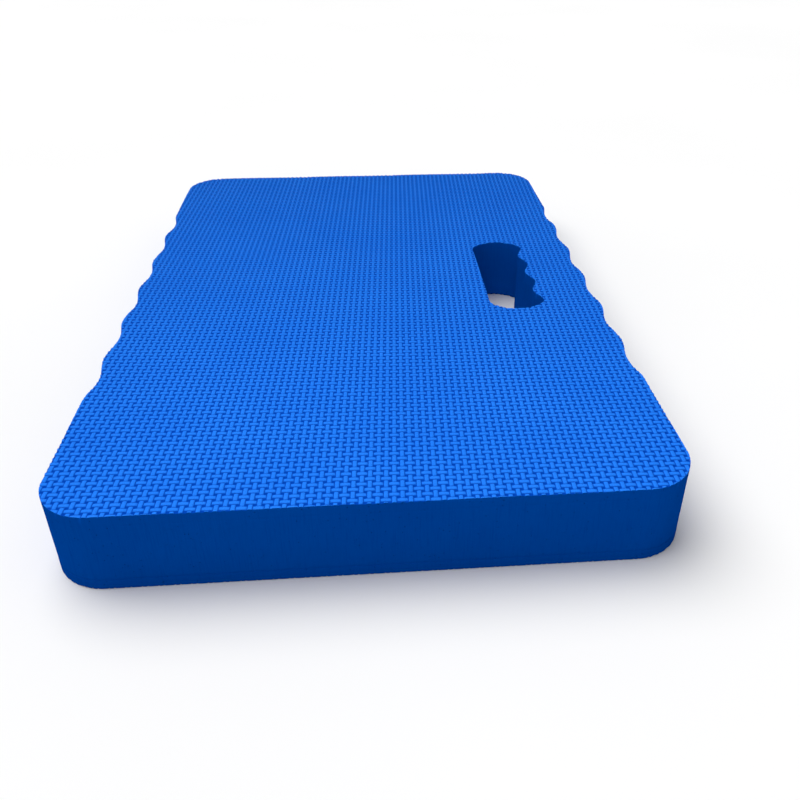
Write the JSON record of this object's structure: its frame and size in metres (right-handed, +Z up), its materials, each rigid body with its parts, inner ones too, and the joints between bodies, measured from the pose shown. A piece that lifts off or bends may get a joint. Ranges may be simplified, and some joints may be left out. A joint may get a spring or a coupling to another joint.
{
  "type": "kneeling pad",
  "caption": "Thick rectangular foam kneeling pad with scalloped long sides, a hand hole with finger grips and a basket-weave embossed face on top and bottom.",
  "frame": {"origin": "centre of the pad's footprint, on the surface that it lies on", "axes": "+X across the pad towards the hand hole, +Y along the pad's length, +Z up"},
  "size_m": [0.28, 0.42, 0.04],
  "materials": {
    "embossed_foam": "matte blue closed-cell foam with a faint sheen on the embossed bars",
    "core_foam": "matte blue closed-cell foam, cut face"
  },
  "bodies": {
    "root": {"bottom_sheet": "embossed_foam", "foam_core": "core_foam", "top_sheet": "embossed_foam"}
  },
  "joints": []
}
